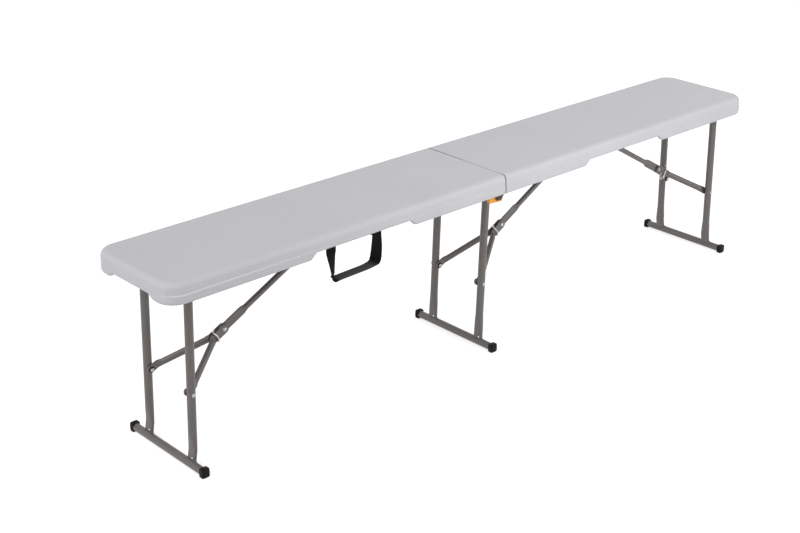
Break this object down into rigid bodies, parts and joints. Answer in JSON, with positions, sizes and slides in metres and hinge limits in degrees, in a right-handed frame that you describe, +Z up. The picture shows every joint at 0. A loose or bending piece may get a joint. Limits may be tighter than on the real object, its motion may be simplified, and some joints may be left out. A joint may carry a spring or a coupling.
{
  "type": "folding bench",
  "caption": "Long folding bench with a plastic seat that folds in half, folding steel leg frames with locking knee braces, and a webbing carrying strap.",
  "frame": {"origin": "on the floor below the middle of the seat, at the seam between its halves", "axes": "+X along the bench towards the half that folds under, +Y across it away from the strap, +Z up"},
  "size_m": [1.83, 0.268, 0.441],
  "materials": {
    "seat_plastic": "fine-grained moulded light grey plastic",
    "grey_steel": "dark grey hammered powder coat",
    "zinc_steel": "bright zinc plate",
    "black_plastic": "satin black",
    "black_webbing": "woven polypropylene webbing",
    "orange_plastic": "satin orange"
  },
  "bodies": {
    "seat_left": {"seat_half_left": "seat_plastic", "rail_left_front": "grey_steel", "rail_left_rear": "grey_steel", "hinge_leaf_left_front": "grey_steel", "hinge_leaf_left_rear": "grey_steel", "hinge_pin_front": "zinc_steel", "hinge_pin_rear": "zinc_steel", "catch_pin": "zinc_steel", "anchor_bar_left": "grey_steel", "pivot_rod_left": "zinc_steel", "strap_bar": "zinc_steel"},
    "seat_right": {"seat_half_right": "seat_plastic", "rail_right_front": "grey_steel", "rail_right_rear": "grey_steel", "hinge_leaf_right_front": "grey_steel", "hinge_leaf_right_rear": "grey_steel", "anchor_bar_right": "grey_steel", "pivot_rod_middle": "zinc_steel", "pivot_rod_right": "zinc_steel"},
    "leg_left": {"pivot_tube_left": "grey_steel", "leg_tube_left_front": "grey_steel", "leg_tube_left_rear": "grey_steel", "foot_tube_left": "grey_steel", "foot_cap_left_front": "black_plastic", "foot_cap_left_rear": "black_plastic", "fork_rivet_left_front": "zinc_steel", "fork_rivet_left_rear": "zinc_steel"},
    "leg_middle": {"pivot_tube_middle": "grey_steel", "leg_tube_middle_front": "grey_steel", "leg_tube_middle_rear": "grey_steel", "foot_tube_middle": "grey_steel", "foot_cap_middle_front": "black_plastic", "foot_cap_middle_rear": "black_plastic", "fork_rivet_middle_front": "zinc_steel", "fork_rivet_middle_rear": "zinc_steel"},
    "leg_right": {"pivot_tube_right": "grey_steel", "leg_tube_right_front": "grey_steel", "leg_tube_right_rear": "grey_steel", "foot_tube_right": "grey_steel", "foot_cap_right_front": "black_plastic", "foot_cap_right_rear": "black_plastic", "fork_rivet_right_front": "zinc_steel", "fork_rivet_right_rear": "zinc_steel"},
    "fork_left": {"brace_arm_left_front": "grey_steel", "brace_arm_left_rear": "grey_steel", "knee_rivet_left": "zinc_steel"},
    "fork_middle": {"brace_arm_middle_front": "grey_steel", "brace_arm_middle_rear": "grey_steel", "knee_rivet_middle": "zinc_steel"},
    "fork_right": {"brace_arm_right_front": "grey_steel", "brace_arm_right_rear": "grey_steel", "knee_rivet_right": "zinc_steel"},
    "link_left": {"brace_link_left": "grey_steel"},
    "link_middle": {"brace_link_middle": "grey_steel"},
    "link_right": {"brace_link_right": "grey_steel"},
    "lock_left": {"lock_wire_left": "zinc_steel"},
    "lock_middle": {"lock_wire_middle": "zinc_steel"},
    "lock_right": {"lock_wire_right": "zinc_steel"},
    "catch": {"fold_catch": "orange_plastic"},
    "strap": {"strap_handle": "black_webbing"}
  },
  "joints": [
    {"name": "seat_fold", "type": "hinge", "parent": "seat_left", "child": "seat_right", "pos_m": [0, 0, 0.3934], "axis": [0, 1, 0], "range_deg": [0, 178.2]},
    {"name": "leg_left_fold", "type": "hinge", "parent": "seat_left", "child": "leg_left", "pos_m": [-0.8335, 0, 0.4135], "axis": [0, -1, 0], "range_deg": [0, 90.36]},
    {"name": "leg_middle_fold", "type": "hinge", "parent": "seat_right", "child": "leg_middle", "pos_m": [0.008, 0, 0.412], "axis": [0, -1, 0], "range_deg": [0, 91.96]},
    {"name": "leg_right_fold", "type": "hinge", "parent": "seat_right", "child": "leg_right", "pos_m": [0.855, 0, 0.4135], "axis": [0, 1, 0], "range_deg": [0, 90.36]},
    {"name": "fork_left_turn", "type": "hinge", "parent": "leg_left", "child": "fork_left", "pos_m": [-0.84086, 0, 0.1665], "axis": [0, -1, 0], "range_deg": [0, 64.05]},
    {"name": "fork_middle_turn", "type": "hinge", "parent": "leg_middle", "child": "fork_middle", "pos_m": [-0.01518, 0, 0.16], "axis": [0, -1, 0], "range_deg": [0, 64.13]},
    {"name": "fork_right_turn", "type": "hinge", "parent": "leg_right", "child": "fork_right", "pos_m": [0.86236, 0, 0.1665], "axis": [0, 1, 0], "range_deg": [0, 61.8]},
    {"name": "link_left_turn", "type": "hinge", "parent": "seat_left", "child": "link_left", "pos_m": [-0.361, 0, 0.4145], "axis": [0, 1, 0], "range_deg": [0, 25.6]},
    {"name": "link_middle_turn", "type": "hinge", "parent": "seat_right", "child": "link_middle", "pos_m": [0.4345, 0, 0.4145], "axis": [0, 1, 0], "range_deg": [0, 23.91]},
    {"name": "link_right_turn", "type": "hinge", "parent": "seat_right", "child": "link_right", "pos_m": [0.4345, 0, 0.4145], "axis": [0, -1, 0], "range_deg": [0, 27.84]},
    {"name": "lock_left_slide", "type": "slide", "parent": "fork_left", "child": "lock_left", "axis": [0.8884, 0, 0.4591], "range_m": [0, 0.014]},
    {"name": "lock_middle_slide", "type": "slide", "parent": "fork_middle", "child": "lock_middle", "axis": [0.8703, 0, 0.4925], "range_m": [0, 0.014]},
    {"name": "lock_right_slide", "type": "slide", "parent": "fork_right", "child": "lock_right", "axis": [-0.8652, 0, 0.5015], "range_m": [0, 0.014]},
    {"name": "catch_pull", "type": "hinge", "parent": "seat_left", "child": "catch", "pos_m": [-0.031, -0.112, 0.416], "axis": [0, 1, 0], "range_deg": [0, 12], "stiffness_Nm_per_rad": 0.02, "springref_deg": -34.38},
    {"name": "strap_swing", "type": "hinge", "parent": "seat_left", "child": "strap", "pos_m": [-0.44475, -0.12145, 0.405], "axis": [-1, 0, 0], "range_deg": [0, 90]}
  ],
  "couplings": [
    {"joint": "leg_left_fold", "follows": "seat_fold", "ratio": 0.50705},
    {"joint": "leg_middle_fold", "follows": "seat_fold", "ratio": 0.51605},
    {"joint": "leg_right_fold", "follows": "seat_fold", "ratio": 0.50705},
    {"joint": "fork_left_turn", "follows": "seat_fold", "ratio": 0.35941},
    {"joint": "fork_middle_turn", "follows": "seat_fold", "ratio": 0.35987},
    {"joint": "fork_right_turn", "follows": "seat_fold", "ratio": 0.34679},
    {"joint": "link_left_turn", "follows": "seat_fold", "ratio": 0.14364},
    {"joint": "link_middle_turn", "follows": "seat_fold", "ratio": 0.13417},
    {"joint": "link_right_turn", "follows": "seat_fold", "ratio": 0.15625},
    {"joint": "strap_swing", "follows": "seat_fold", "ratio": 0.50505}
  ]
}
